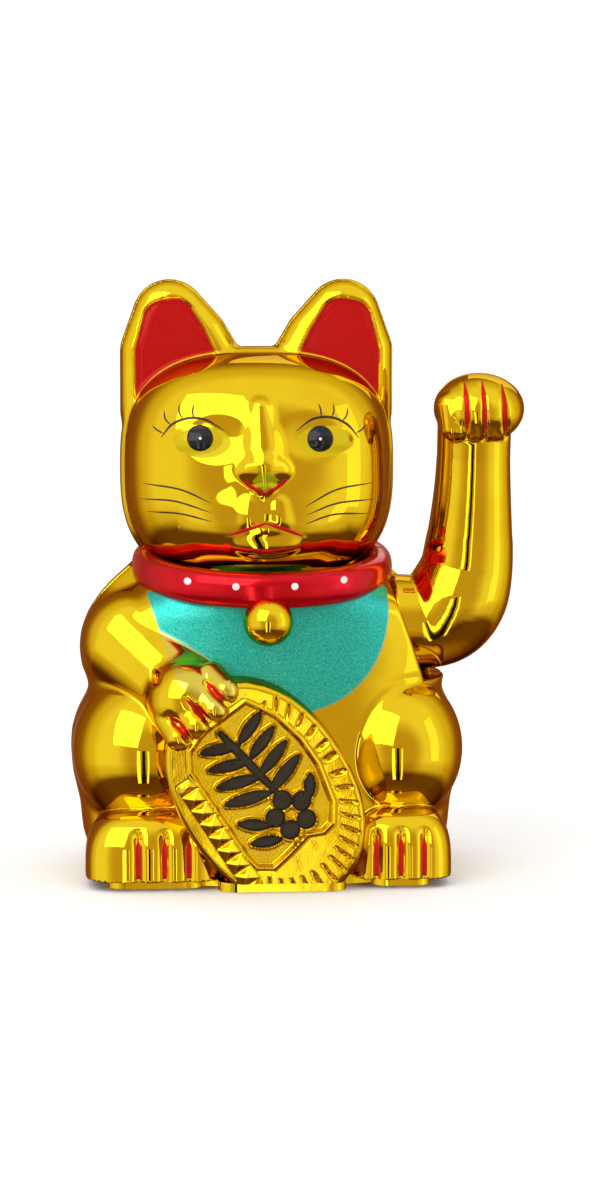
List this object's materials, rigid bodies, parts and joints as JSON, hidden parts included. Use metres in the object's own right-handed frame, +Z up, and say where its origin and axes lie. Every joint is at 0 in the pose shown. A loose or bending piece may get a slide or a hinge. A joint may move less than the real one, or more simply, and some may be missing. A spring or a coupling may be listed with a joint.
{
  "type": "beckoning cat figurine",
  "caption": "Seated beckoning cat in two plated half shells on a base plate, with a swinging raised arm driven by a pendulum magnet over a coil.",
  "frame": {"origin": "Middle of the base plate's underside, on the face the figurine stands on", "axes": "+Z up, -Y toward the viewer the cat faces, +X toward the raised arm"},
  "size_m": [0.152, 0.1009, 0.1999],
  "materials": {
    "gold_plated_shell": "vacuum-plated mirror gloss",
    "gold_plated_base": "plated, satin underside",
    "zinc_steel": "zinc plated",
    "cell_jacket": "printed shrink film",
    "nickel_contact": "nickel plated",
    "red_insulation": "smooth",
    "black_insulation": "smooth",
    "white_plastic": "moulded",
    "brass_bush": "turned",
    "enamelled_copper": "enamelled wire",
    "phenolic_board": "phenolic paper",
    "black_epoxy": "moulded epoxy",
    "resistor_body": "lacquered",
    "capacitor_sleeve": "sleeved can",
    "ferrite_magnet": "sintered"
  },
  "bodies": {
    "body": {"front_shell": "gold_plated_shell", "rear_shell": "gold_plated_shell", "base_plate": "gold_plated_base", "base_screws": "zinc_steel", "battery_cell": "cell_jacket", "cell_spring": "nickel_contact", "cell_contact": "nickel_contact", "lead_red": "red_insulation", "lead_black": "black_insulation", "drive_frame": "white_plastic", "frame_screws": "zinc_steel", "bush_inner": "brass_bush", "bush_outer": "brass_bush", "coil_bobbin": "white_plastic", "coil_winding": "enamelled_copper", "coil_leads": "enamelled_copper", "circuit_board": "phenolic_board", "board_screws": "zinc_steel", "transistor": "black_epoxy", "resistors": "resistor_body", "capacitor": "capacitor_sleeve"},
    "pendulum": {"pendulum_lever": "white_plastic", "pivot_shaft": "zinc_steel", "shaft_clip": "zinc_steel", "pendulum_magnet": "ferrite_magnet", "counterweight": "zinc_steel", "drive_stub": "white_plastic"},
    "arm": {"arm_front_shell": "gold_plated_shell", "arm_rear_shell": "gold_plated_shell", "arm_socket": "white_plastic"},
    "cover": {"battery_cover": "gold_plated_base"}
  },
  "joints": [
    {"name": "arm_swing", "type": "hinge", "parent": "body", "child": "pendulum", "pos_m": [0.02, 0, 0.0837], "axis": [1, 0, 0], "range_deg": [-18, 18]},
    {"name": "arm_pull_off", "type": "slide", "parent": "pendulum", "child": "arm", "axis": [1, 0, 0], "range_m": [0, 0.02]},
    {"name": "battery_cover_slide", "type": "slide", "parent": "body", "child": "cover", "axis": [0, 1, 0], "range_m": [0, 0.06]}
  ]
}
